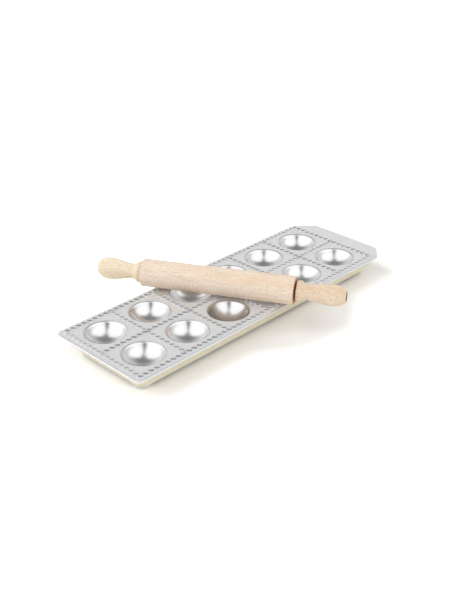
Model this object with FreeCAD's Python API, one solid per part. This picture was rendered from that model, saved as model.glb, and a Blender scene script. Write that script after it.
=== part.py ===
# Ravioli mould: a pressed aluminium plate with round cups, folded round the flange of a plastic
# base on four rubber feet, with its small rolling pin lying across the plate.
# Millimetres. X runs across the mould, Y along it towards the handle tab, Z up from the surface
# that the feet stand on. The origin is below the middle of the plate's outline.

import FreeCAD
import Part
import math
import os

# Grid of cells
COLUMNS = 2
ROWS = 6
CELL_WIDTH = 46.0
CELL_LENGTH = 47.0

# Plate
SHEET = 0.7
CUP_RADIUS = 19.4
CUP_DEPTH = 11.0
CUP_LIP_RADIUS = 3.5
CUP_RING = 0.6
SIDE_BORDER = 5.6
NEAR_BORDER = 6.0
TAB_BORDER = 20.3
LEFT_SHOULDER_BORDER = 1.8
RIGHT_SHOULDER_BORDER = 5.2
TAB_LEFT = 35.0
TAB_RIGHT = 39.7
CORNER_RADIUS = 5.5
TAB_CORNER_RADIUS = 8.0
HEM_WIDTH = 4.5

# Zigzag cutting ridges
TOOTH_PITCH = 5.58
TOOTH_SWING = 1.4
RIDGE_HEIGHT = 1.5
RIDGE_FOOT_WIDTH = 1.5
RIDGE_CREST_WIDTH = 0.6

# Base moulding
FLANGE = 1.0
DECK = 2.0
BASE_HEIGHT = 17.2
WALL = 2.2
WALL_DRAFT = 18.0
SIDE_OVERHANG = 7.2
TAB_OVERHANG = 10.4
BASE_CORNER_RADIUS = 9.0
BOTTOM_ROUNDING = 1.2
RIB = 1.6
RIB_DEPTH = 9.0

# Feet
FOOT_RADIUS = 6.0
FOOT_HEIGHT = 2.8
FOOT_ROUNDING = 0.8
FOOT_INSET = 7.0
STEM_RADIUS = 2.0
STEM_LENGTH = 4.0
BOSS_RADIUS = 6.5
BOSS_HEIGHT = 6.0

# Rolling pin
BARREL_RADIUS = 12.1
BARREL_LENGTH = 134.6
BARREL_ROUNDING = 0.8
PIN_ANGLE = 29.5
PIN_MIDDLE_X = -1.9
PIN_MIDDLE_Y = -11.1
LEFT_GAP = 0.4
RIGHT_GAP = 1.5
END_PLAY = 1.6

# Pin handles, measured from the face of the collar. Each is turned by hand, so they differ a little.
LEFT_LENGTH = 40.6
LEFT_GRIP_RADIUS = 9.6
RIGHT_LENGTH = 41.7
RIGHT_GRIP_RADIUS = 9.0
COLLAR_RADIUS = 9.2
COLLAR_WIDTH = 4.2
COLLAR_CHAMFER = 0.6
NECK_RADIUS = 6.8
NECK_AT = 8.9
GRIP_AT = 31.0
SWELL = 0.4
TIP_RADIUS = 4.8
RECESS_RADIUS = 3.5
RECESS_AT = 37.6

# Pin spindle
SPINDLE_RADIUS = 2.5
SPINDLE_GRIP = 28.0
HEAD_RADIUS = 3.1
HEAD_EDGE = 0.6
HEAD_DOME = 0.9

# Clearances and lands
FOLD_CLEARANCE = 0.05
CUP_CLEARANCE = 0.2
STEM_CLEARANCE = 0.05
SPINDLE_CLEARANCE = 0.08
PIN_CLEARANCE = 0.03
EDGE_LAND = 0.1

UP = FreeCAD.Vector(0, 0, 1)
ALONG = FreeCAD.Vector(1, 0, 0)
ORIGIN = FreeCAD.Vector(0, 0, 0)
TINY = 1e-6

# Levels
BASE_BOTTOM = FOOT_HEIGHT
PLATE_TOP = FOOT_HEIGHT + BASE_HEIGHT
EDGE = 2 * SHEET + FLANGE
DECK_TOP = PLATE_TOP - SHEET
DECK_BOTTOM = DECK_TOP - DECK
RIDGE_TOP = PLATE_TOP + RIDGE_HEIGHT
WALL_LEAN = (DECK_BOTTOM - BASE_BOTTOM) * math.tan(math.radians(WALL_DRAFT))

# Plan sizes, from the middle of the grid of cells
GRID_X = COLUMNS * CELL_WIDTH / 2
GRID_Y = ROWS * CELL_LENGTH / 2
SIDE = GRID_X + SIDE_BORDER
NEAR = -GRID_Y - NEAR_BORDER
FAR = GRID_Y + TAB_BORDER
PLAN = [
    (-SIDE, NEAR, CORNER_RADIUS),
    (SIDE, NEAR, CORNER_RADIUS),
    (SIDE, GRID_Y + RIGHT_SHOULDER_BORDER, TAB_CORNER_RADIUS),
    (TAB_RIGHT, FAR, TAB_CORNER_RADIUS),
    (-TAB_LEFT, FAR, TAB_CORNER_RADIUS),
    (-SIDE, GRID_Y + LEFT_SHOULDER_BORDER, TAB_CORNER_RADIUS),
]
GRID_TO_ORIGIN = FreeCAD.Vector(0, -(NEAR + FAR) / 2, 0)


# Plan geometry

def unit(a, b):
    """The direction from one plan point to another."""
    length = math.hypot(b[0] - a[0], b[1] - a[1])
    return (b[0] - a[0]) / length, (b[1] - a[1]) / length


def crossing(a, d, b, e):
    """How far along d, from a, and along e, from b, two lines in plan cross."""
    turn = d[0] * e[1] - d[1] * e[0]
    gap = (b[0] - a[0], b[1] - a[1])
    return (gap[0] * e[1] - gap[1] * e[0]) / turn, (gap[0] * d[1] - gap[1] * d[0]) / turn


def onward(a, d, distance):
    return a[0] + d[0] * distance, a[1] + d[1] * distance


def leftward(a, d, distance):
    return a[0] - d[1] * distance, a[1] + d[0] * distance


def inset(plan, distance):
    """An anticlockwise outline moved inwards, its corner radii reduced to match."""
    moved = []
    for i, (x, y, radius) in enumerate(plan):
        before = unit(plan[i - 1], plan[i])
        after = unit(plan[i], plan[(i + 1) % len(plan)])
        a = leftward((x, y), before, distance)
        b = leftward((x, y), after, distance)
        corner = onward(a, before, crossing(a, before, b, after)[0])
        moved.append((corner[0], corner[1], radius - distance))
    return moved


def outline(plan, z):
    """A closed wire of straight sides and tangent corner arcs."""
    starts = []
    ends = []
    arcs = []
    for i, (x, y, radius) in enumerate(plan):
        before = unit(plan[i - 1], plan[i])
        after = unit(plan[i], plan[(i + 1) % len(plan)])
        half_turn = math.acos(before[0] * after[0] + before[1] * after[1]) / 2
        reach = radius * math.tan(half_turn)
        corner = FreeCAD.Vector(x, y, z)
        start = FreeCAD.Vector(*onward((x, y), before, -reach), z)
        end = FreeCAD.Vector(*onward((x, y), after, reach), z)
        inwards = ((start + end) * 0.5 - corner).normalize()
        middle = corner + inwards * (radius / math.cos(half_turn) - radius)
        starts.append(start)
        ends.append(end)
        arcs.append(Part.Arc(start, middle, end).toShape())
    edges = []
    for i, arc in enumerate(arcs):
        edges.append(arc)
        edges.append(line(ends[i], starts[(i + 1) % len(plan)]))
    return Part.Wire(edges)


# Solids

def line(a, b):
    return Part.LineSegment(a, b).toShape()


def prism(plan, low, high):
    return Part.Face(outline(plan, low)).extrude(UP * (high - low))


def turned(section, axis):
    """A solid of revolution about an axis through the origin, from a closed half section."""
    return Part.Face(Part.Wire(section)).revolve(ORIGIN, axis, 360)


def level_edges(solid, level):
    """The edges that lie wholly at one height."""
    boxes = [(edge, edge.BoundBox) for edge in solid.Edges]
    return [e for e, box in boxes if max(abs(box.ZMin - level), abs(box.ZMax - level)) < TINY]


def rounded_slab(plan, low, high):
    """A slab whose edge is a half round, but for a narrow land."""
    slab = prism(plan, low, high)
    rims = level_edges(slab, low) + level_edges(slab, high)
    return slab.makeFillet((high - low - EDGE_LAND) / 2, rims)


def drafted(plan):
    """The base's shape down from the deck, drawn in by the draft. The plan is its top."""
    wires = [outline(inset(plan, WALL_LEAN), BASE_BOTTOM), outline(plan, DECK_BOTTOM)]
    return Part.makeLoft(wires, True, True)


def cup_centres():
    for column in range(COLUMNS):
        for row in range(ROWS):
            x = (column + 0.5) * CELL_WIDTH - GRID_X
            y = (row + 0.5) * CELL_LENGTH - GRID_Y
            yield FreeCAD.Vector(x, y, 0)


# Plate

def cup_section(depth_in_sheet):
    """One face of a cup: the lip's arc and the bowl's, offset by a depth in the sheet."""
    lip_centre = FreeCAD.Vector(CUP_RADIUS, 0, PLATE_TOP - CUP_LIP_RADIUS)
    drop = CUP_DEPTH - CUP_LIP_RADIUS
    # The bowl touches the lip, so their centres are the sum of both radii apart
    rise = CUP_RADIUS ** 2 + drop ** 2 - CUP_LIP_RADIUS ** 2
    bowl_radius = rise / (2 * (CUP_LIP_RADIUS + drop))
    bowl_centre = FreeCAD.Vector(0, 0, PLATE_TOP - CUP_DEPTH + bowl_radius)
    towards = (bowl_centre - lip_centre).normalize()
    halfway = (towards + UP).normalize()
    lip = CUP_LIP_RADIUS - depth_in_sheet
    bowl = bowl_radius + depth_in_sheet
    top = lip_centre + UP * lip
    join = lip_centre + towards * lip
    bottom = bowl_centre - UP * bowl
    lip_arc = Part.Arc(top, lip_centre + halfway * lip, join).toShape()
    bowl_arc = Part.Arc(join, bowl_centre - halfway * bowl, bottom).toShape()
    return top, lip_arc, bowl_arc, bottom


def cup():
    """One pressed cup with a narrow ring of the flat sheet round it."""
    top_in, lip_in, bowl_in, bottom_in = cup_section(0)
    top_out, lip_out, bowl_out, bottom_out = cup_section(SHEET)
    rim_in = FreeCAD.Vector(CUP_RADIUS + CUP_RING, 0, PLATE_TOP)
    rim_out = FreeCAD.Vector(CUP_RADIUS + CUP_RING, 0, PLATE_TOP - SHEET)
    section = [
        line(rim_in, top_in),
        lip_in,
        bowl_in,
        line(bottom_in, bottom_out),
        bowl_out,
        lip_out,
        line(top_out, rim_out),
        line(rim_out, rim_in),
    ]
    return turned(section, UP)


def half_teeth(length):
    """How many half teeth fit a length. It is odd, so that a zigzag turns corners evenly."""
    return 2 * int(length / TOOTH_PITCH) + 1


def teeth(length):
    """The turning points of a zigzag: how far along, and how far to the side."""
    step = length / half_teeth(length)
    for k in range(half_teeth(length)):
        yield (k + 0.5) * step, TOOTH_SWING * (1 if k % 2 == 0 else -1)


def border_zigzag():
    """The closed zigzag round the whole grid, anticlockwise."""
    corners = [(-GRID_X, -GRID_Y), (GRID_X, -GRID_Y), (GRID_X, GRID_Y), (-GRID_X, GRID_Y)]
    points = []
    for i, corner in enumerate(corners):
        following = corners[(i + 1) % len(corners)]
        way = unit(corner, following)
        for along, aside in teeth(math.dist(corner, following)):
            points.append(leftward(onward(corner, way, along), way, -aside))
    return points


def run_on(a, b, border):
    """Where a line from a through b first crosses the border's zigzag."""
    way = unit(a, b)
    hits = []
    for i, end in enumerate(border):
        side = unit(border[i - 1], end)
        if abs(way[0] * side[1] - way[1] * side[0]) > TINY:
            ahead, across = crossing(a, way, border[i - 1], side)
            if ahead > 0 and -TINY < across < math.dist(border[i - 1], end) + TINY:
                hits.append(ahead)
    return onward(a, way, min(hits))


def inner_zigzag(start, end, border):
    """A zigzag across the grid, its first and last teeth run on to the border."""
    way = unit(start, end)
    points = []
    for along, aside in teeth(math.dist(start, end)):
        points.append(leftward(onward(start, way, along), way, -aside))
    first = run_on(points[0], start, border)
    last = run_on(points[-1], end, border)
    return [first] + points + [last]


def beside(points, closed, distance):
    """A zigzag moved to its left, with mitred corners."""
    moved = []
    last = len(points) - 1
    for i, point in enumerate(points):
        follows = points[(i + 1) % len(points)]
        before = unit(points[i - 1], point) if closed or i > 0 else unit(point, follows)
        after = unit(point, follows) if closed or i < last else before
        a = leftward(point, before, distance)
        b = leftward(point, after, distance)
        straight = abs(before[0] * after[1] - before[1] * after[0]) < TINY
        moved.append(a if straight else onward(a, before, crossing(a, before, b, after)[0]))
    return moved


def face_of(points):
    return Part.Face(Part.makePolygon(points + [points[0]]))


def band(left, right, closed):
    """The flat face between the two sides of a zigzag."""
    if not closed:
        return face_of(left + right[::-1])
    one, other = face_of(left), face_of(right)
    return one.cut(other).Faces[0] if one.Area > other.Area else other.cut(one).Faces[0]


def ridge(points, closed):
    """A raised ridge of tapering section along a zigzag, rooted in the sheet."""
    root = PLATE_TOP - SHEET / 2
    crest_half = RIDGE_CREST_WIDTH / 2
    foot_half = RIDGE_FOOT_WIDTH / 2
    root_half = foot_half + (foot_half - crest_half) * (PLATE_TOP - root) / RIDGE_HEIGHT
    rails = []
    for half, level in ((root_half, root), (crest_half, RIDGE_TOP)):
        for distance in (half, -half):
            plan = beside(points, closed, distance)
            rails.append([FreeCAD.Vector(x, y, level) for x, y in plan])
    root_left, root_right, crest_left, crest_right = rails
    faces = [band(root_left, root_right, closed), band(crest_left, crest_right, closed)]
    for i in range(len(points) if closed else len(points) - 1):
        j = (i + 1) % len(points)
        faces.append(face_of([root_left[i], root_left[j], crest_left[j], crest_left[i]]))
        faces.append(face_of([root_right[i], root_right[j], crest_right[j], crest_right[i]]))
    if not closed:
        for i in (0, -1):
            faces.append(face_of([root_left[i], root_right[i], crest_right[i], crest_left[i]]))
    shell = Part.makeShell(faces)
    shell.sewShape()
    solid = Part.makeSolid(shell)
    if solid.Volume < 0:
        solid.reverse()
    return solid


def ridges():
    """Every cutting ridge: round the grid, then between the columns and between the rows."""
    border = border_zigzag()
    made = [ridge(border, True)]
    for column in range(1, COLUMNS):
        x = column * CELL_WIDTH - GRID_X
        made.append(ridge(inner_zigzag((x, -GRID_Y), (x, GRID_Y), border), False))
    for row in range(1, ROWS):
        y = row * CELL_LENGTH - GRID_Y
        made.append(ridge(inner_zigzag((-GRID_X, y), (GRID_X, y), border), False))
    return made


def mould_plate():
    """The aluminium sheet: flat top, folded edge, cups and ridges, pressed as one piece."""
    skin = rounded_slab(PLAN, PLATE_TOP - EDGE, PLATE_TOP)
    fold = rounded_slab(inset(PLAN, SHEET), PLATE_TOP - EDGE + SHEET, DECK_TOP)
    opening = prism(inset(PLAN, HEM_WIDTH), PLATE_TOP - 2 * EDGE, DECK_TOP - FLANGE / 2)
    sheet = skin.cut(fold).cut(opening)
    mouths = []
    cups = []
    for centre in cup_centres():
        low = centre + UP * (DECK_TOP - SHEET)
        mouths.append(Part.makeCylinder(CUP_RADIUS + CUP_RING, 3 * SHEET, low))
        pressed = cup()
        pressed.translate(centre)
        cups.append(pressed)
    flat = sheet.cut(Part.makeCompound(mouths))
    return flat.multiFuse(cups + ridges()).removeSplitter()


# Base and feet

def wall_plan():
    """The plan of the base's wall where it leaves the deck."""
    radius = BASE_CORNER_RADIUS + WALL_LEAN
    x = SIDE - SIDE_OVERHANG
    near = NEAR + SIDE_OVERHANG
    far = FAR - TAB_OVERHANG
    return [(-x, near, radius), (x, near, radius), (x, far, radius), (-x, far, radius)]


def foot_places():
    """The name and the place of each foot, set in from the corners of the wall's lower end."""
    names = ("foot_front_left", "foot_front_right", "foot_back_right", "foot_back_left")
    places = inset(wall_plan(), WALL_LEAN + FOOT_INSET)
    return [(name, FreeCAD.Vector(x, y, 0)) for name, (x, y, radius) in zip(names, places)]


def base_frame():
    """The plastic moulding: flange, deck, drafted wall, ribs and the bosses of the feet."""
    flange = rounded_slab(inset(PLAN, SHEET + FOLD_CLEARANCE), DECK_TOP - FLANGE, DECK_TOP)
    deck = prism(inset(PLAN, HEM_WIDTH + FOLD_CLEARANCE), DECK_BOTTOM, DECK_TOP)
    outside = drafted(wall_plan())
    outside = outside.makeFillet(BOTTOM_ROUNDING, level_edges(outside, BASE_BOTTOM))
    inside = drafted(inset(wall_plan(), WALL))

    low = DECK_BOTTOM - RIB_DEPTH
    bars = []
    for column in range(1, COLUMNS):
        corner = FreeCAD.Vector(column * CELL_WIDTH - GRID_X - RIB / 2, NEAR, low)
        bars.append(Part.makeBox(RIB, FAR - NEAR, RIB_DEPTH, corner))
    for row in range(1, ROWS + 1):
        corner = FreeCAD.Vector(-SIDE, row * CELL_LENGTH - GRID_Y - RIB / 2, low)
        bars.append(Part.makeBox(2 * SIDE, RIB, RIB_DEPTH, corner))

    sockets = []
    for name, place in foot_places():
        bottom = place + UP * BASE_BOTTOM
        bars.append(Part.makeCylinder(BOSS_RADIUS, BOSS_HEIGHT, bottom))
        depth = STEM_LENGTH + STEM_CLEARANCE
        sockets.append(Part.makeCylinder(STEM_RADIUS + STEM_CLEARANCE, depth, bottom))
    holes = []
    for centre in cup_centres():
        bottom = centre + UP * (DECK_BOTTOM - DECK)
        holes.append(Part.makeCylinder(CUP_RADIUS + CUP_CLEARANCE, 3 * DECK, bottom))

    inner = [bar.common(inside) for bar in bars]
    solid = flange.multiFuse([deck, outside.cut(inside)] + inner).removeSplitter()
    return solid.cut(Part.makeCompound(holes + sockets))


def foot(place):
    """A rubber foot: a round pad with a softened lower edge, and a stem for its boss."""
    pad = Part.makeCylinder(FOOT_RADIUS, FOOT_HEIGHT)
    pad = pad.makeFillet(FOOT_ROUNDING, level_edges(pad, 0))
    solid = pad.fuse(Part.makeCylinder(STEM_RADIUS, STEM_LENGTH, UP * FOOT_HEIGHT))
    solid.translate(place)
    return solid


# Rolling pin, each piece along X with the barrel's middle at the origin

def on_pin(along, radius):
    return FreeCAD.Vector(along, 0, radius)


def turned_along(points):
    """A solid turned about the pin's axis, from a section of straight sides."""
    sides = [line(a, b) for a, b in zip(points, points[1:] + points[:1])]
    return turned(sides, ALONG)


def level_arc(level, other):
    """An arc in the pin's section between two points, level at the first."""
    run = other.x - level.x
    rise = other.z - level.z
    radius = (run ** 2 + rise ** 2) / (2 * rise)
    centre = on_pin(level.x, level.z + radius)
    halfway = ((level - centre) + (other - centre)).normalize()
    return Part.Arc(level, centre + halfway * abs(radius), other).toShape()


def pin_barrel():
    """The turned barrel, with a blind hole in each end for a spindle."""
    end = BARREL_LENGTH / 2
    shoulder = BARREL_RADIUS - BARREL_ROUNDING
    bottom = end - SPINDLE_GRIP
    slope = end - BARREL_ROUNDING
    return turned_along([
        on_pin(-bottom, 0),
        on_pin(-bottom, SPINDLE_RADIUS),
        on_pin(-end, SPINDLE_RADIUS),
        on_pin(-end, shoulder),
        on_pin(-slope, BARREL_RADIUS),
        on_pin(slope, BARREL_RADIUS),
        on_pin(end, shoulder),
        on_pin(end, SPINDLE_RADIUS),
        on_pin(bottom, SPINDLE_RADIUS),
        on_pin(bottom, 0),
    ])


def pin_handle(length, grip_radius):
    """A turned handle: collar, neck, grip and the recess for the spindle's head."""
    bore = SPINDLE_RADIUS + SPINDLE_CLEARANCE
    edge = COLLAR_RADIUS - COLLAR_CHAMFER
    neck = on_pin(NECK_AT, NECK_RADIUS)
    grip = on_pin(GRIP_AT, grip_radius)
    swell = neck + (grip - neck) * SWELL
    corners = [
        on_pin(length, TIP_RADIUS),
        on_pin(length, RECESS_RADIUS),
        on_pin(RECESS_AT, RECESS_RADIUS),
        on_pin(RECESS_AT, bore),
        on_pin(0, bore),
        on_pin(0, edge),
        on_pin(COLLAR_CHAMFER, COLLAR_RADIUS),
        on_pin(COLLAR_WIDTH - COLLAR_CHAMFER, COLLAR_RADIUS),
        on_pin(COLLAR_WIDTH, edge),
    ]
    section = [line(a, b) for a, b in zip(corners, corners[1:])]
    section.append(level_arc(neck, corners[-1]))
    section.append(level_arc(neck, swell))
    section.append(level_arc(grip, swell))
    section.append(level_arc(grip, corners[0]))
    return turned(section, ALONG)


def pin_spindle():
    """A headed steel pin: its shank sits in the barrel, its head in the handle's recess."""
    start = BARREL_LENGTH / 2 - SPINDLE_GRIP
    head = BARREL_LENGTH / 2 + END_PLAY + RECESS_AT
    rim = head + HEAD_EDGE
    corners = [
        on_pin(rim + HEAD_DOME, 0),
        on_pin(start, 0),
        on_pin(start, SPINDLE_RADIUS),
        on_pin(head, SPINDLE_RADIUS),
        on_pin(head, HEAD_RADIUS),
        on_pin(rim, HEAD_RADIUS),
    ]
    section = [line(a, b) for a, b in zip(corners, corners[1:])]
    dome = (HEAD_RADIUS ** 2 + HEAD_DOME ** 2) / (2 * HEAD_DOME)
    centre = corners[0] - ALONG * dome
    halfway = ((corners[0] - centre) + (corners[-1] - centre)).normalize()
    section.append(Part.Arc(corners[-1], centre + halfway * dome, corners[0]).toShape())
    return turned(section, ALONG)


def laid(solid, flipped=False, shift=0):
    """A piece of the pin, slid along its axis, turned end for end and laid on the ridges."""
    solid.translate(ALONG * shift)
    turn = PIN_ANGLE + (180 if flipped else 0)
    solid.rotate(ORIGIN, UP, turn)
    height = RIDGE_TOP + PIN_CLEARANCE + BARREL_RADIUS
    solid.translate(FreeCAD.Vector(PIN_MIDDLE_X, PIN_MIDDLE_Y, height))
    return solid


def pieces():
    made = {"mould_plate": mould_plate(), "base_frame": base_frame()}
    for name, place in foot_places():
        made[name] = foot(place)
    end = BARREL_LENGTH / 2
    made["pin_barrel"] = laid(pin_barrel())
    made["pin_handle_left"] = laid(pin_handle(LEFT_LENGTH, LEFT_GRIP_RADIUS), True, end + LEFT_GAP)
    made["pin_handle_right"] = laid(pin_handle(RIGHT_LENGTH, RIGHT_GRIP_RADIUS), False, end + RIGHT_GAP)
    made["pin_spindle_left"] = laid(pin_spindle(), True)
    made["pin_spindle_right"] = laid(pin_spindle())
    return made


os.makedirs("parts", exist_ok=True)
for name, solid in pieces().items():
    solid.translate(GRID_TO_ORIGIN)
    solid.exportStep(f"parts/{name}.step")
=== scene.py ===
# Ravioli mould: fine meshes of the plate, of the pin's barrel and of its handles, a material for
# every piece, and the studio. Sizes are in millimetres, apart from those of the studio and those
# in the materials' nodes, which are in metres.

import math

import bmesh
import bpy
from mathutils import Matrix, Vector
from mathutils.geometry import delaunay_2d_cdt

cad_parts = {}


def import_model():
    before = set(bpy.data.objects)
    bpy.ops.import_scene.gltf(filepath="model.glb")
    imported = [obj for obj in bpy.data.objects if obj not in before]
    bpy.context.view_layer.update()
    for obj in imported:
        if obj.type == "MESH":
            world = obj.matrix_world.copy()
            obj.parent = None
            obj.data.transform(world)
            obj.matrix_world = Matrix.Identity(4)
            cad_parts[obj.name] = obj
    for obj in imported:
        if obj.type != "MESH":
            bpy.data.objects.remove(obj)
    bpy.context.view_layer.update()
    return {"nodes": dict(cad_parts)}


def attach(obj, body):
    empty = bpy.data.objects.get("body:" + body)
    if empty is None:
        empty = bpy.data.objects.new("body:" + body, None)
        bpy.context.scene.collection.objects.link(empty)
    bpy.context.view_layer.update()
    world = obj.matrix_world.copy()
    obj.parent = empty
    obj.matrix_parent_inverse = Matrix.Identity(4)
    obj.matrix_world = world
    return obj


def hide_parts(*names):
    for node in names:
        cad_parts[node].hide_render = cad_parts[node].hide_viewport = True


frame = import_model()
nodes = frame["nodes"]
MM = 0.001

# Grid of cells
COLUMNS = 2
ROWS = 6
CELL_WIDTH = 46.0
CELL_LENGTH = 47.0
GRID_X = COLUMNS * CELL_WIDTH / 2
GRID_Y = ROWS * CELL_LENGTH / 2

# Plate
PLATE_TOP = 20.0
SHEET = 0.7
CUP_RADIUS = 19.4
CUP_DEPTH = 11.0
CUP_LIP_RADIUS = 3.5
CUP_RING = 0.6
EDGE_HEIGHT = 2.4
EDGE_LAND = 0.1
FLAT_INSET = 1.7
HEM_WIDTH = 4.5
SIDE_BORDER = 5.6
NEAR_BORDER = 6.0
TAB_BORDER = 20.3
LEFT_SHOULDER_BORDER = 1.8
RIGHT_SHOULDER_BORDER = 5.2
TAB_LEFT = 35.0
TAB_RIGHT = 39.7
CORNER_RADIUS = 5.5
TAB_CORNER_RADIUS = 8.0

# The plate's plan, from the middle of the grid of cells: each corner and its radius
SIDE = GRID_X + SIDE_BORDER
NEAR = -GRID_Y - NEAR_BORDER
FAR = GRID_Y + TAB_BORDER
PLAN = [
    (-SIDE, NEAR, CORNER_RADIUS),
    (SIDE, NEAR, CORNER_RADIUS),
    (SIDE, GRID_Y + RIGHT_SHOULDER_BORDER, TAB_CORNER_RADIUS),
    (TAB_RIGHT, FAR, TAB_CORNER_RADIUS),
    (-TAB_LEFT, FAR, TAB_CORNER_RADIUS),
    (-SIDE, GRID_Y + LEFT_SHOULDER_BORDER, TAB_CORNER_RADIUS),
]
GRID_SHIFT = -(NEAR + FAR) / 2

# Zigzag ridges, and half the section of one: how far aside, and how high
TOOTH_PITCH = 5.58
TOOTH_SWING = 1.4
RIDGE_HEIGHT = 1.5
RIDGE_SIDE = [
    (0.94, -0.3),
    (0.86, 0.0),
    (0.74, 0.16),
    (0.59, 0.46),
    (0.44, 0.80),
    (0.30, 1.12),
    (0.20, 1.34),
    (0.10, 1.46),
]

# Rolling pin
BARREL_RADIUS = 12.1
BARREL_LENGTH = 134.6
BARREL_ROUNDING = 0.8
BARREL_END_RING = 0.3
SPINDLE_RADIUS = 2.5
SPINDLE_GRIP = 28.0
SPINDLE_CLEARANCE = 0.08
PIN_CLEARANCE = 0.03
PIN_ANGLE = math.radians(29.5)
PIN_HEIGHT = PLATE_TOP + RIDGE_HEIGHT + PIN_CLEARANCE + BARREL_RADIUS
PIN_MIDDLE = (-1.9, -11.1 + GRID_SHIFT, PIN_HEIGHT)

# Pin handles, measured from the face of the collar. Outlines give how far along, and the radius
LEFT_GAP = 0.4
LEFT_LENGTH = 40.6
LEFT_GRIP_RADIUS = 9.6
RIGHT_GAP = 1.5
RIGHT_LENGTH = 41.7
RIGHT_GRIP_RADIUS = 9.0
BORE_RADIUS = SPINDLE_RADIUS + SPINDLE_CLEARANCE
COLLAR = [(0, 8.5), (0.2, 8.95), (0.6, 9.2), (3.4, 9.2), (3.9, 9.05), (4.2, 8.6)]
NECK = (8.9, 6.8)
GRIP_AT = 31.0
SWELL = 0.4
TIP_RADIUS = 4.8
TIP_EDGE = [(-0.2, 5.1), (0, 4.65)]
RECESS_RADIUS = 3.5
RECESS_AT = 37.6

# Steps of the round forms. The cups' lips and bowls have finer ones on the side that shows
CORNER_STEPS = 14
FOLD_STEPS = 8
INNER_FOLD_STEPS = 5
CUP_STEPS = 80
TOP_CUP_STEPS = (9, 16)
UNDER_CUP_STEPS = (4, 8)
TURN_STEPS = 4
PIN_STEPS = 96
ROUNDING_STEPS = 5
COLLAR_STEPS = 10
SWELL_STEPS = 8
TIP_STEPS = 12

# The sharpest turn that is shaded smooth, and how near to each other points are merged
SMOOTH_TURN = math.radians(32)
SAME_POINT = 0.0001
SAME_RIDGE_POINT = 0.001


# Mesh helpers

class Shell:
    """The points and faces of a mesh that is built ring by ring."""

    def __init__(self):
        self.verts = []
        self.faces = []

    def ring(self, points):
        """Adds the points of a closed ring and gives their numbers."""
        start = len(self.verts)
        self.verts.extend(points)
        return list(range(start, start + len(points)))

    def tip(self, point, count):
        """Adds one point that stands for a whole ring."""
        self.verts.append(point)
        return [len(self.verts) - 1] * count

    def skin(self, a, b):
        """Adds the faces between two rings, triangles where one of them is a tip."""
        for k in range(len(a)):
            m = (k + 1) % len(a)
            corners = [a[k], a[m], b[m], b[k]]
            self.faces.append(tuple(v for i, v in enumerate(corners) if v != corners[i - 1]))

    def flat(self, outer, mouths):
        """Adds the level face between an outer ring and the mouths of the cups."""
        order = []
        edges = []
        for loop in [outer] + mouths:
            start = len(order)
            edges += [(start + k, start + (k + 1) % len(loop)) for k in range(len(loop))]
            order += loop
        points = [Vector(self.verts[v][:2]) for v in order]
        coords, _, triangles, origin, _, _ = delaunay_2d_cdt(points, edges, [], 0, 1e-5)
        # A little less than the mouth's radius, since the sides of its ring are chords
        inside = CUP_RADIUS + CUP_RING - 0.02
        for triangle in triangles:
            middle = sum((coords[k] for k in triangle), Vector((0, 0))) / 3
            if all(math.dist(middle, centre) > inside for centre in cup_centres()):
                self.faces.append(tuple(order[origin[k][0]] for k in triangle))


def mesh_object(name, verts, faces, same_point=SAME_POINT):
    """A mesh object from millimetre points, smooth but for its sharp edges."""
    mesh = bpy.data.meshes.new(name)
    mesh.from_pydata([Vector(v) * MM for v in verts], [], faces)
    obj = bpy.data.objects.new(name, mesh)
    bpy.context.scene.collection.objects.link(obj)
    finish_mesh(mesh, same_point)
    return obj


def finish_mesh(mesh, same_point=SAME_POINT):
    """Merges doubles, turns the faces outwards and marks the sharp edges."""
    bm = bmesh.new()
    bm.from_mesh(mesh)
    bmesh.ops.remove_doubles(bm, verts=bm.verts, dist=same_point * MM)
    bmesh.ops.recalc_face_normals(bm, faces=bm.faces)
    for face in bm.faces:
        face.smooth = True
    for edge in bm.edges:
        edge.smooth = len(edge.link_faces) == 2 and edge.calc_face_angle(0) < SMOOTH_TURN
    bm.to_mesh(mesh)
    bm.free()


def union(obj, other):
    """Adds another closed mesh to a closed mesh and deletes the other."""
    join = obj.modifiers.new("join", "BOOLEAN")
    join.operation = "UNION"
    join.solver = "MANIFOLD"
    join.object = other
    graph = bpy.context.evaluated_depsgraph_get()
    mesh = bpy.data.meshes.new_from_object(obj.evaluated_get(graph))
    obj.modifiers.clear()
    obj.data = mesh
    bpy.data.objects.remove(other)


def unit(a, b):
    """The direction from one plan point to another."""
    length = math.dist(a, b)
    return (b[0] - a[0]) / length, (b[1] - a[1]) / length


def arc(cx, cz, radius, start, end, steps):
    """Points on an arc in a section, its angles in degrees."""
    found = []
    for k in range(steps + 1):
        angle = math.radians(start + (end - start) * k / steps)
        found.append((cx + radius * math.cos(angle), cz + radius * math.sin(angle)))
    return found


def turns(count):
    """Evenly spaced angles round a circle."""
    return [2 * math.pi * k / count for k in range(count)]


# Sheet of the plate

def outline(plan):
    """Points round a plan with rounded corners, each with its outward normal."""
    found = []
    for i, (x, y, radius) in enumerate(plan):
        before = unit(plan[i - 1][:2], (x, y))
        after = unit((x, y), plan[(i + 1) % len(plan)][:2])
        turn = math.acos(before[0] * after[0] + before[1] * after[1])
        reach = radius * math.tan(turn / 2)
        start = (x - before[0] * reach, y - before[1] * reach)
        centre = (start[0] - before[1] * radius, start[1] + before[0] * radius)
        first = math.atan2(start[1] - centre[1], start[0] - centre[0])
        for k in range(CORNER_STEPS + 1):
            angle = first + turn * k / CORNER_STEPS
            normal = (math.cos(angle), math.sin(angle))
            point = (centre[0] + normal[0] * radius, centre[1] + normal[1] * radius)
            found.append((point, normal))
    return found


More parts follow.
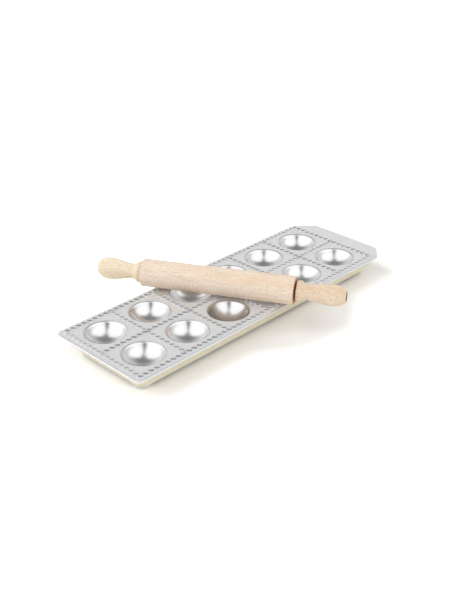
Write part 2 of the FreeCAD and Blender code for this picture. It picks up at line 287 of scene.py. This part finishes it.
def edge_section():
    """The folded edge, from the sheet's top round to its underside: inset and height."""
    outer = (EDGE_HEIGHT - EDGE_LAND) / 2
    inner = outer - SHEET
    high = -outer
    low = outer - EDGE_HEIGHT
    section = [(FLAT_INSET, 0.0)]
    section += arc(outer, high, outer, 90, 180, FOLD_STEPS)
    section += arc(outer, low, outer, 180, 270, FOLD_STEPS)
    section += [(HEM_WIDTH, -EDGE_HEIGHT), (HEM_WIDTH, SHEET - EDGE_HEIGHT)]
    section += arc(outer, low, inner, 270, 180, INNER_FOLD_STEPS)
    section += arc(outer, high, inner, 180, 90, INNER_FOLD_STEPS)
    return section + [(FLAT_INSET, -SHEET)]


def cup_section(depth_in_sheet, lip_steps, bowl_steps):
    """A cup's section from its ring of flat sheet to its middle: radius and height."""
    drop = CUP_DEPTH - CUP_LIP_RADIUS
    # The bowl touches the lip, so their centres are the sum of both radii apart
    rise = CUP_RADIUS ** 2 + drop ** 2 - CUP_LIP_RADIUS ** 2
    bowl = rise / (2 * (CUP_LIP_RADIUS + drop))
    slope = math.degrees(math.atan2(bowl - drop, CUP_RADIUS))
    lip_radius = CUP_LIP_RADIUS - depth_in_sheet
    lip = arc(CUP_RADIUS, -CUP_LIP_RADIUS, lip_radius, 90, 180 - slope, lip_steps)
    low = arc(0, bowl - CUP_DEPTH, bowl + depth_in_sheet, -slope, -90, bowl_steps)
    return [(CUP_RADIUS + CUP_RING, -depth_in_sheet)] + lip + low[1:]


def cup_centres():
    """The middle of each cup, from the middle of the grid of cells."""
    for column in range(COLUMNS):
        for row in range(ROWS):
            yield (column + 0.5) * CELL_WIDTH - GRID_X, (row + 0.5) * CELL_LENGTH - GRID_Y


def cup_face(shell, centre, section):
    """Adds one side of a cup and gives the ring of its mouth."""
    rings = []
    for radius, z in section[:-1]:
        rings.append(shell.ring([
            (centre[0] + radius * math.cos(a), centre[1] + radius * math.sin(a), z)
            for a in turns(CUP_STEPS)
        ]))
    rings.append(shell.tip((*centre, section[-1][1]), CUP_STEPS))
    for a, b in zip(rings, rings[1:]):
        shell.skin(a, b)
    return rings[0]


def plate_sheet():
    """The folded sheet with its cups, as one closed mesh."""
    shell = Shell()
    plan = outline(PLAN)
    rings = []
    for inset, z in edge_section():
        rings.append(shell.ring([(p[0] - n[0] * inset, p[1] - n[1] * inset, z) for p, n in plan]))
    for a, b in zip(rings, rings[1:]):
        shell.skin(a, b)
    top = cup_section(0, *TOP_CUP_STEPS)
    under = cup_section(SHEET, *UNDER_CUP_STEPS)
    top_mouths = [cup_face(shell, centre, top) for centre in cup_centres()]
    under_mouths = [cup_face(shell, centre, under) for centre in cup_centres()]
    shell.flat(rings[0], top_mouths)
    shell.flat(rings[-1], under_mouths)
    return mesh_object("plate_sheet", shell.verts, shell.faces)


# Ridges of the plate

def teeth(length):
    """The turning points of a zigzag: how far along, and how far to the side."""
    count = 2 * int(length / TOOTH_PITCH) + 1
    for k in range(count):
        yield (k + 0.5) * length / count, TOOTH_SWING * (1 if k % 2 == 0 else -1)


def zigzag(start, end):
    """The plan points of a zigzag from one end to the other."""
    way = unit(start, end)
    return [(start[0] + way[0] * a + way[1] * s, start[1] + way[1] * a - way[0] * s)
            for a, s in teeth(math.dist(start, end))]


def crossing(a, d, b, e):
    """How far along d, from a, and along e, from b, two lines in plan cross."""
    turn = d[0] * e[1] - d[1] * e[0]
    gap = (b[0] - a[0], b[1] - a[1])
    return (gap[0] * e[1] - gap[1] * e[0]) / turn, (gap[0] * d[1] - gap[1] * d[0]) / turn


def run_on(a, b, border):
    """Where a line from a through b first meets the border's zigzag."""
    tiny = 1e-6
    way = unit(a, b)
    hits = []
    for i, end in enumerate(border):
        side = unit(border[i - 1], end)
        if abs(way[0] * side[1] - way[1] * side[0]) > tiny:
            ahead, across = crossing(a, way, border[i - 1], side)
            if ahead > 0 and -tiny < across < math.dist(border[i - 1], end) + tiny:
                hits.append(ahead)
    return a[0] + way[0] * min(hits), a[1] + way[1] * min(hits)


def ridge(points, closed):
    """A ridge along a zigzag, as a closed mesh rooted in the sheet.

    Each turn is mitred on its inner side and round on its outer side.
    """
    shell = Shell()
    rings = []
    count = len(points)
    for i, point in enumerate(points):
        inside = closed or 0 < i < count - 1
        before = unit(points[i - 1], point) if closed or i > 0 else unit(point, points[1])
        after = unit(point, points[(i + 1) % count]) if inside else before
        dot = before[0] * after[0] + before[1] * after[1]
        mitre = (-(before[1] + after[1]) / (1 + dot), (before[0] + after[0]) / (1 + dot))
        turn = math.atan2(before[0] * after[1] - before[1] * after[0], dot)
        leftward = math.atan2(before[1], before[0]) + math.pi / 2
        for k in range(TURN_STEPS + 1 if inside else 1):
            angle = leftward + turn * k / TURN_STEPS
            outer = (math.cos(angle), math.sin(angle))
            left, right = (mitre, outer) if turn > 0 else (outer, mitre)
            section = [(-x, z, right) for x, z in RIDGE_SIDE]
            section.append((0.0, RIDGE_HEIGHT, mitre))
            section += [(x, z, left) for x, z in RIDGE_SIDE[::-1]]
            rings.append(shell.ring([
                (point[0] + n[0] * x, point[1] + n[1] * x, z) for x, z, n in section
            ]))
    for a, b in zip(rings, rings[1:] + rings[:1] if closed else rings[1:]):
        shell.skin(a, b)
    if not closed:
        shell.faces.append(tuple(rings[0]))
        shell.faces.append(tuple(rings[-1]))
    return mesh_object("ridge", shell.verts, shell.faces, SAME_RIDGE_POINT)


def mould_plate():
    """The whole plate: the sheet, then the ridges round the grid and between its cells."""
    plate = plate_sheet()
    corners = [(-GRID_X, -GRID_Y), (GRID_X, -GRID_Y), (GRID_X, GRID_Y), (-GRID_X, GRID_Y)]
    border = []
    for i, corner in enumerate(corners):
        border += zigzag(corner, corners[(i + 1) % len(corners)])
    union(plate, ridge(border, True))
    lines = []
    for column in range(1, COLUMNS):
        x = column * CELL_WIDTH - GRID_X
        lines.append(((x, -GRID_Y), (x, GRID_Y)))
    for row in range(1, ROWS):
        y = row * CELL_LENGTH - GRID_Y
        lines.append(((-GRID_X, y), (GRID_X, y)))
    for start, end in lines:
        inner = zigzag(start, end)
        first = run_on(inner[0], start, border)
        last = run_on(inner[-1], end, border)
        union(plate, ridge([first] + inner + [last], False))
    finish_mesh(plate.data)
    plate.data.transform(Matrix.Translation((0, GRID_SHIFT * MM, PLATE_TOP * MM)))
    return plate


# Rolling pin

def turned(name, section, flip=False):
    """A turned piece of the pin, from a section along its axis: distance and radius."""
    shell = Shell()
    rings = []
    for along, radius in section:
        if radius == 0:
            rings.append(shell.tip((along, 0, 0), PIN_STEPS))
        else:
            rings.append(shell.ring([
                (along, radius * math.cos(a), radius * math.sin(a)) for a in turns(PIN_STEPS)
            ]))
    hollow = section[0][1] > 0
    for a, b in zip(rings, rings[1:] + rings[:1] if hollow else rings[1:]):
        shell.skin(a, b)
    obj = mesh_object(name, shell.verts, shell.faces)
    turn = PIN_ANGLE + (math.pi if flip else 0)
    place = Matrix.Translation(Vector(PIN_MIDDLE) * MM) @ Matrix.Rotation(turn, 4, "Z")
    obj.data.transform(place)
    return obj


def level_arc(level, other, steps):
    """Points from one section point, where the curve is level, to another."""
    run = abs(other[0] - level[0])
    rise = abs(other[1] - level[1])
    radius = (run ** 2 + rise ** 2) / (2 * rise)
    full = math.atan2(run, radius - rise)
    onward = math.copysign(radius, other[0] - level[0])
    upward = math.copysign(radius, other[1] - level[1])
    found = []
    for k in range(steps + 1):
        angle = full * k / steps
        x = level[0] + onward * math.sin(angle)
        found.append((x, level[1] + upward * (1 - math.cos(angle))))
    return found


def barrel_section():
    """The barrel's section, with a blind hole in each end for a spindle."""
    end = BARREL_LENGTH / 2
    bottom = end - SPINDLE_GRIP
    shoulder = BARREL_RADIUS - BARREL_ROUNDING
    half = [(bottom, 0), (bottom, SPINDLE_RADIUS), (end, SPINDLE_RADIUS)]
    half += [(end, shoulder - BARREL_END_RING)]
    half += arc(end - BARREL_ROUNDING, shoulder, BARREL_ROUNDING, 0, 90, ROUNDING_STEPS)
    return [(-x, r) for x, r in half] + half[::-1]


def handle_section(gap, length, grip_radius):
    """A handle's closed section: bore, collar, neck, grip, tip and recess."""
    grip = (GRIP_AT, grip_radius)
    tip = (length, TIP_RADIUS)
    swell = (NECK[0] + SWELL * (grip[0] - NECK[0]), NECK[1] + SWELL * (grip[1] - NECK[1]))
    points = [(0, BORE_RADIUS)] + COLLAR
    points += level_arc(NECK, COLLAR[-1], COLLAR_STEPS)[::-1][1:]
    points += level_arc(NECK, swell, SWELL_STEPS)[1:]
    points += level_arc(grip, swell, SWELL_STEPS)[::-1][1:]
    points += level_arc(grip, tip, TIP_STEPS)[1:-1]
    points += [(length + x, r) for x, r in TIP_EDGE]
    points += [(length, RECESS_RADIUS), (RECESS_AT, RECESS_RADIUS), (RECESS_AT, BORE_RADIUS)]
    return [(x + BARREL_LENGTH / 2 + gap, r) for x, r in points]


# Material helpers

def material(name):
    """A new material, its node tree and its shader."""
    made = bpy.data.materials.new(name)
    made.use_nodes = True
    tree = made.node_tree
    return made, tree, tree.nodes["Principled BSDF"]


def node(tree, kind, **values):
    """A new node with some of its properties set."""
    made = tree.nodes.new(kind)
    for key, value in values.items():
        setattr(made, key, value)
    return made


def calc(tree, operation, a, b=None, clamp=False):
    """A Math node on sockets or numbers."""
    made = node(tree, "ShaderNodeMath", operation=operation, use_clamp=clamp)
    for k, value in enumerate((a, b)):
        if value is None:
            continue
        if isinstance(value, (int, float)):
            made.inputs[k].default_value = value
        else:
            tree.links.new(value, made.inputs[k])
    return made.outputs[0]


def remap(tree, value, low, high, to_low=0.0, to_high=1.0):
    """A smooth step of a socket from one range to another."""
    made = node(tree, "ShaderNodeMapRange", interpolation_type="SMOOTHSTEP")
    tree.links.new(value, made.inputs["Value"])
    made.inputs["From Min"].default_value = low
    made.inputs["From Max"].default_value = high
    made.inputs["To Min"].default_value = to_low
    made.inputs["To Max"].default_value = to_high
    return made.outputs["Result"]


def step(tree, value, limits):
    """A smooth step from nothing to full between two limits in millimetres."""
    return remap(tree, value, limits[0] * MM, limits[1] * MM)


def mixed(tree, factor, a, b):
    """A colour mixed from two, each a socket or an RGB triple."""
    made = node(tree, "ShaderNodeMix", data_type="RGBA")
    tree.links.new(factor, made.inputs["Factor"])
    for key, value in ((6, a), (7, b)):
        if isinstance(value, tuple):
            made.inputs[key].default_value = (*value, 1)
        else:
            tree.links.new(value, made.inputs[key])
    return made.outputs[2]


def noise(tree, vector, scale, detail, roughness):
    """Soft noise from 0 to 1."""
    made = node(tree, "ShaderNodeTexNoise")
    tree.links.new(vector, made.inputs["Vector"])
    made.inputs["Scale"].default_value = scale
    made.inputs["Detail"].default_value = detail
    made.inputs["Roughness"].default_value = roughness
    return made.outputs["Fac"]


def bump(tree, shader, height, strength, distance):
    """Relief on a shader, its distance in metres."""
    made = node(tree, "ShaderNodeBump")
    made.inputs["Strength"].default_value = strength
    made.inputs["Distance"].default_value = distance
    tree.links.new(height, made.inputs["Height"])
    tree.links.new(made.outputs["Normal"], shader.inputs["Normal"])


def linear(*rgb):
    """A display colour from 0 to 255 as linear light."""
    return tuple(((c / 255 + 0.055) / 1.055) ** 2.4 if c > 10 else c / 255 / 12.92 for c in rgb)


def surface_point(tree):
    """The point on the surface, in metres."""
    return node(tree, "ShaderNodeTexCoord").outputs["Object"]


def split_axes(tree, vector):
    """The X, Y and Z of a vector."""
    made = node(tree, "ShaderNodeSeparateXYZ")
    tree.links.new(vector, made.inputs[0])
    return made.outputs


def pin_vector(tree):
    """The point along and across the pin, and how squarely the surface faces its ends."""
    where = node(tree, "ShaderNodeTexCoord")
    turn = node(tree, "ShaderNodeMapping", vector_type="TEXTURE")
    turn.inputs["Location"].default_value = Vector(PIN_MIDDLE) * MM
    turn.inputs["Rotation"].default_value = (0, 0, PIN_ANGLE)
    tree.links.new(where.outputs["Object"], turn.inputs["Vector"])
    facing = node(tree, "ShaderNodeVectorMath", operation="DOT_PRODUCT")
    tree.links.new(where.outputs["Normal"], facing.inputs[0])
    facing.inputs[1].default_value = (math.cos(PIN_ANGLE), math.sin(PIN_ANGLE), 0)
    return turn.outputs[0], calc(tree, "ABSOLUTE", facing.outputs["Value"])


def stretched(tree, vector, scale, turn=(0, 0, 0)):
    """A vector scaled along each axis and turned."""
    made = node(tree, "ShaderNodeMapping")
    made.inputs["Scale"].default_value = scale
    made.inputs["Rotation"].default_value = turn
    tree.links.new(vector, made.inputs["Vector"])
    return made.outputs[0]


def dress(obj, made):
    """Gives an object one material."""
    obj.data.materials.clear()
    obj.data.materials.append(made)


# Where the plate's finishes start and where they are full: off the flat sheet, down in a cup, up
# on a ridge, and out on the folded edge at the sides and at the ends
BENT = (0.02, 0.35)
BOWL = (-0.1, -0.5)
RAISED = (0.1, 0.5)
HEM_ASIDE = (50.0, 50.6)
HEM_ALONG = (152.5, 153.1)

# The beech's patterns, as repeats in a metre along and across the pin, and how they are turned.
# Then how far off the axis the painted shade of a handle's recess starts and is full
RING_SCALE = (6, 130, 90)
RING_TURN = (0.3, 0.02, 0.05)
GRAIN_SCALE = (55, 1500, 1500)
RAY_SCALE = (420, 2100, 2100)
RAY_TURN = (0, 0, 0.03)
RECESS_SHADE = (4.1, 3.5)


# Materials

def aluminium():
    """Satin sheet, brighter and smoother in the pressed cups and on the ridges."""
    made, tree, shader = material("pressed_aluminium")
    where = surface_point(tree)
    x, y, z = split_axes(tree, where)
    height = calc(tree, "SUBTRACT", z, PLATE_TOP * MM)
    bent = step(tree, calc(tree, "ABSOLUTE", height), BENT)
    raised = step(tree, height, RAISED)
    hem_aside = step(tree, calc(tree, "ABSOLUTE", x), HEM_ASIDE)
    hem_along = step(tree, calc(tree, "ABSOLUTE", y), HEM_ALONG)
    hem = calc(tree, "MAXIMUM", hem_aside, hem_along)
    polish = calc(tree, "MAXIMUM", step(tree, height, BOWL), raised)
    polish = calc(tree, "SUBTRACT", polish, hem, clamp=True)
    mottle = noise(tree, where, scale=900, detail=4, roughness=0.6)
    cloud = noise(tree, where, scale=45, detail=3, roughness=0.5)

    speckle = remap(tree, mottle, 0.3, 0.7)
    tone = mixed(tree, speckle, linear(230, 231, 232), linear(248, 249, 249))
    tone = mixed(tree, calc(tree, "MULTIPLY", cloud, 0.25), tone, linear(216, 217, 219))
    tone = mixed(tree, bent, tone, linear(217, 217, 218))
    tone = mixed(tree, hem, tone, linear(206, 206, 208))
    tree.links.new(tone, shader.inputs["Base Color"])

    metal = remap(tree, bent, 0, 1, to_low=0.5, to_high=1.0)
    metal = calc(tree, "SUBTRACT", metal, calc(tree, "MULTIPLY", raised, 0.28))
    tree.links.new(metal, shader.inputs["Metallic"])
    rough = remap(tree, bent, 0, 1, to_low=0.44, to_high=0.29)
    rough = calc(tree, "SUBTRACT", rough, calc(tree, "MULTIPLY", polish, 0.07))
    rough = calc(tree, "ADD", rough, calc(tree, "MULTIPLY", cloud, 0.04))
    tree.links.new(rough, shader.inputs["Roughness"])
    grain = calc(tree, "MULTIPLY", mottle, calc(tree, "SUBTRACT", 1.0, bent))
    bump(tree, shader, grain, strength=0.25, distance=0.00012)
    return made


def beech(name, pale, warm, fleck, end_grain, ray_share):
    """Bare beech: soft rings, fine grain along the piece, a share of short dark rays, and painted
    shade in the recesses.
    """
    made, tree, shader = material(name)
    vector, facing = pin_vector(tree)
    ring_place = stretched(tree, vector, RING_SCALE, RING_TURN)
    rings = noise(tree, ring_place, scale=1.0, detail=3, roughness=0.55)
    grain_place = stretched(tree, vector, GRAIN_SCALE)
    streaks = noise(tree, grain_place, scale=1.0, detail=3, roughness=0.6)
    tone = mixed(tree, remap(tree, rings, 0.35, 0.68), linear(*pale), linear(*warm))
    streaked = calc(tree, "MULTIPLY", remap(tree, streaks, 0.42, 0.8), 0.55)
    tone = mixed(tree, streaked, tone, linear(*fleck))

    cells = node(tree, "ShaderNodeTexVoronoi", feature="F1")
    cells.inputs["Scale"].default_value = 1.0
    tree.links.new(stretched(tree, vector, RAY_SCALE, RAY_TURN), cells.inputs["Vector"])
    pick = node(tree, "ShaderNodeSeparateColor")
    tree.links.new(cells.outputs["Color"], pick.inputs[0])
    chosen = calc(tree, "GREATER_THAN", pick.outputs[0], 1 - ray_share)
    ray = calc(tree, "MULTIPLY", remap(tree, cells.outputs["Distance"], 0.46, 0.22), chosen)
    tone = mixed(tree, calc(tree, "MULTIPLY", ray, 0.62), tone, linear(*fleck))

    tone = mixed(tree, remap(tree, facing, 0.72, 0.97), tone, linear(*end_grain))
    # Painted shade: the colour turns dark brown near the axis, in the handles' recesses
    off_axis = node(tree, "ShaderNodeVectorMath", operation="LENGTH")
    tree.links.new(stretched(tree, vector, (0, 1, 1)), off_axis.inputs[0])
    recess = step(tree, off_axis.outputs["Value"], RECESS_SHADE)
    tone = mixed(tree, recess, tone, linear(112, 74, 46))
    tree.links.new(tone, shader.inputs["Base Color"])

    shader.inputs["Specular IOR Level"].default_value = 0.3
    rough = remap(tree, streaks, 0.2, 0.8, to_low=0.55, to_high=0.68)
    tree.links.new(rough, shader.inputs["Roughness"])
    height = calc(tree, "SUBTRACT", streaks, calc(tree, "MULTIPLY", ray, 0.6))
    bump(tree, shader, height, strength=0.25, distance=0.00015)
    return made


def cream_plastic():
    """Smooth cream moulding with a faint unevenness."""
    made, tree, shader = material("cream_plastic")
    where = surface_point(tree)
    cloud = noise(tree, where, scale=30, detail=2, roughness=0.5)
    tone = mixed(tree, cloud, linear(243, 236, 212), linear(238, 230, 203))
    tree.links.new(tone, shader.inputs["Base Color"])
    rough = remap(tree, cloud, 0.3, 0.7, to_low=0.34, to_high=0.42)
    tree.links.new(rough, shader.inputs["Roughness"])
    fine = noise(tree, where, scale=1400, detail=2, roughness=0.5)
    bump(tree, shader, fine, strength=0.12, distance=0.0001)
    return made


def pale_rubber():
    """Dull pale grey rubber."""
    made, tree, shader = material("pale_rubber")
    cloud = noise(tree, surface_point(tree), scale=400, detail=3, roughness=0.5)
    tone = mixed(tree, cloud, linear(230, 230, 226), linear(216, 216, 211))
    tree.links.new(tone, shader.inputs["Base Color"])
    rough = remap(tree, cloud, 0.3, 0.7, to_low=0.55, to_high=0.7)
    tree.links.new(rough, shader.inputs["Roughness"])
    bump(tree, shader, cloud, strength=0.15, distance=0.0001)
    return made


def steel():
    """Steel with fine lines turned round the pin, its greys darkened as painted shade."""
    made, tree, shader = material("pin_steel_painted_shade")
    vector, _ = pin_vector(tree)
    line_place = stretched(tree, vector, (4000, 120, 120))
    lines = noise(tree, line_place, scale=1.0, detail=2, roughness=0.5)
    # Painted shade: both greys are darker than bare steel, so the spindles read as shaded
    tone = mixed(tree, lines, linear(112, 108, 104), linear(150, 148, 146))
    tree.links.new(tone, shader.inputs["Base Color"])
    shader.inputs["Metallic"].default_value = 1.0
    rough = remap(tree, lines, 0.3, 0.7, to_low=0.3, to_high=0.42)
    tree.links.new(rough, shader.inputs["Roughness"])
    return made


# Pieces
left_section = handle_section(LEFT_GAP, LEFT_LENGTH, LEFT_GRIP_RADIUS)
right_section = handle_section(RIGHT_GAP, RIGHT_LENGTH, RIGHT_GRIP_RADIUS)
plate = mould_plate()
barrel = turned("barrel_turned", barrel_section())
left = turned("handle_left_turned", left_section, flip=True)
right = turned("handle_right_turned", right_section)

dress(plate, aluminium())
dress(barrel, beech(
    "barrel_beech",
    pale=(246, 231, 213),
    warm=(241, 219, 194),
    fleck=(200, 154, 116),
    end_grain=(188, 142, 102),
    ray_share=0.5,
))
dress(left, beech(
    "handle_beech",
    pale=(249, 236, 212),
    warm=(243, 226, 196),
    fleck=(208, 168, 126),
    end_grain=(204, 164, 124),
    ray_share=0.25,
))
dress(right, beech(
    "handle_right_beech",
    pale=(246, 228, 205),
    warm=(238, 214, 186),
    fleck=(190, 142, 102),
    end_grain=(196, 152, 112),
    ray_share=0.65,
))

for piece, body, slot, target in (
    (plate, "mould", "plate", "mould_plate"),
    (barrel, "mould", "barrel", "pin_barrel"),
    (left, "left_handle", "handle", "pin_handle_left"),
    (right, "right_handle", "handle", "pin_handle_right"),
):
    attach(piece, body)
    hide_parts(target)

cream = cream_plastic()
rubber = pale_rubber()
metal = steel()
for name, obj in nodes.items():
    if name.startswith("foot"):
        dress(obj, rubber)
    elif name.startswith("pin_spindle"):
        dress(obj, metal)
    elif name == "base_frame":
        dress(obj, cream)


# Camera, solved from the rims of the cups, on a frame of 450 by 600 pixels
AZIMUTH = math.radians(44.631)
ELEVATION = math.radians(28.915)
ROLL = math.radians(-0.227)
DISTANCE = 0.783976
TARGET = Vector((0.008461, -0.01294 + GRID_SHIFT * MM, PLATE_TOP * MM))
BACK = Vector((
    math.sin(AZIMUTH) * math.cos(ELEVATION),
    -math.cos(AZIMUTH) * math.cos(ELEVATION),
    math.sin(ELEVATION),
))
FOCAL_PIXELS = 919.011
FRAME_HEIGHT = 600
SENSOR_HEIGHT = 36


def camera():
    """The photograph's view of the target, with its slight roll."""
    level = Vector((0, 0, 1)).cross(BACK).normalized()
    rise = BACK.cross(level)
    rightward = level * math.cos(ROLL) + rise * math.sin(ROLL)
    upward = rise * math.cos(ROLL) - level * math.sin(ROLL)
    data = bpy.data.cameras.new("camera")
    data.sensor_fit = "VERTICAL"
    data.sensor_height = SENSOR_HEIGHT
    data.lens = FOCAL_PIXELS * SENSOR_HEIGHT / FRAME_HEIGHT
    data.clip_start = 0.01
    obj = bpy.data.objects.new("camera", data)
    bpy.context.scene.collection.objects.link(obj)
    rotation = Matrix((rightward, upward, BACK)).transposed().to_4x4()
    obj.matrix_world = Matrix.Translation(TARGET + BACK * DISTANCE) @ rotation
    bpy.context.scene.camera = obj


# Half the floor's side, in millimetres. Then, in metres, half the plan of what stands on it, and
# the spot below the right handle, round which the floor's painted light is held back as painted
# shadow
FLOOR_HALF = 3000
HALF_PLAN = (("X", 0.05), ("Y", 0.15))
GRIP_SHADOW_SPOT = (0.08, 0.025, 0)


def floor():
    """A white floor with painted light, an emission seen by camera rays and reflections, held
    back near the object as painted shadow.
    """
    corners = ((-1, -1), (1, -1), (1, 1), (-1, 1))
    verts = [(x * FLOOR_HALF, y * FLOOR_HALF, 0) for x, y in corners]
    obj = mesh_object("floor", verts, [(0, 1, 2, 3)])
    made, tree, shader = material("white_floor")
    shader.inputs["Base Color"].default_value = (0.89, 0.877, 0.852, 1)
    shader.inputs["Roughness"].default_value = 0.9
    shader.inputs["Specular IOR Level"].default_value = 0.1
    path = node(tree, "ShaderNodeLightPath")
    seen = calc(tree, "MAXIMUM", path.outputs["Is Camera Ray"], path.outputs["Is Glossy Ray"])
    seen = calc(tree, "MAXIMUM", seen, path.outputs["Is Transmission Ray"])

    where = surface_point(tree)
    axes = split_axes(tree, where)
    beyond = []
    for axis, half in HALF_PLAN:
        past = calc(tree, "SUBTRACT", calc(tree, "ABSOLUTE", axes[axis]), half)
        past = calc(tree, "MAXIMUM", past, 0.0)
        beyond.append(calc(tree, "MULTIPLY", past, past))
    away = calc(tree, "SQRT", calc(tree, "ADD", beyond[0], beyond[1]))
    # Painted shadow: the painted light starts further out round the spot below the right handle
    from_grip = node(tree, "ShaderNodeVectorMath", operation="DISTANCE")
    tree.links.new(where, from_grip.inputs[0])
    from_grip.inputs[1].default_value = GRIP_SHADOW_SPOT
    painted_grip_shadow = remap(tree, from_grip.outputs["Value"], 0.015, 0.08, to_low=0.03, to_high=0.0)
    away = calc(tree, "SUBTRACT", away, painted_grip_shadow)

    # Painted light: brighter further from the object, and more so on its left and at its near end
    painted_floor_light = remap(tree, away, 0.0, 0.035, to_low=0.06, to_high=0.6)
    painted_floor_light = calc(tree, "ADD", painted_floor_light, remap(tree, away, 0.02, 0.09, to_low=0.0, to_high=0.35))
    for axis, near, far in (("X", -0.03, -0.1), ("Y", -0.12, -0.16)):
        painted_floor_light = calc(tree, "ADD", painted_floor_light, remap(tree, axes[axis], near, far, to_high=0.3))
    painted_floor_light = calc(tree, "MINIMUM", painted_floor_light, 1.0)
    shader.inputs["Emission Color"].default_value = (1, 1, 1, 1)
    tree.links.new(calc(tree, "MULTIPLY", seen, painted_floor_light), shader.inputs["Emission Strength"])
    dress(obj, made)


# The light tent's room has one light all over, and more below some heights: each from nothing to
# full, in degrees up, and its strength
ROOM_LIGHT = 0.26
ROOM_BANDS = (((58, 20), 0.54), ((16, 2), 0.45))

# Its dark front, its two bright panels and its dim back, in two halves: where each starts and
# ends, first in degrees round from the camera and then up, with the edges from nothing to full,
# and its strength
PATCHES = (
    (((-40, -20), (34, 14), (-4, 4), (60, 36)), 0.04),
    (((-136, -116), (-6, -22), (2, 16), (90, 71)), 1.48),
    (((0, 16), (132, 108), (18, 34), (90, 71)), 1.48),
    (((138, 160), (190, 185), (-4, 0), (18, 6)), 0.8),
    (((-190, -185), (-138, -160), (-4, 0), (18, 6)), 0.8),
)


def world():
    """A light tent: two broad soft panels, left and right of the camera, in a pale grey room."""
    made = bpy.data.worlds.new("studio")
    made.use_nodes = True
    tree = made.node_tree
    turn = node(tree, "ShaderNodeMapping", vector_type="VECTOR")
    turn.inputs["Rotation"].default_value = (0, 0, -AZIMUTH)
    where = node(tree, "ShaderNodeTexCoord").outputs["Generated"]
    tree.links.new(where, turn.inputs["Vector"])
    x, y, z = split_axes(tree, turn.outputs[0])
    across = calc(tree, "DEGREES", calc(tree, "ARCTAN2", x, calc(tree, "MULTIPLY", y, -1.0)))
    rise = calc(tree, "DEGREES", calc(tree, "ARCSINE", z))
    light = ROOM_LIGHT
    for limits, strength in ROOM_BANDS:
        band = calc(tree, "MULTIPLY", remap(tree, rise, *limits), strength)
        light = calc(tree, "ADD", light, band)
    for limits, strength in PATCHES:
        patch = remap(tree, across, *limits[0])
        for value, edges in zip((across, rise, rise), limits[1:]):
            patch = calc(tree, "MULTIPLY", remap(tree, value, *edges), patch)
        light = calc(tree, "MULTIPLY", light, calc(tree, "SUBTRACT", 1.0, patch))
        light = calc(tree, "ADD", light, calc(tree, "MULTIPLY", patch, strength))
    back = tree.nodes["Background"]
    back.inputs["Color"].default_value = (1, 1, 1, 1)
    tree.links.new(light, back.inputs["Strength"])
    bpy.context.scene.world = made


camera()
floor()
world()
bpy.context.scene.view_settings.view_transform = "Standard"
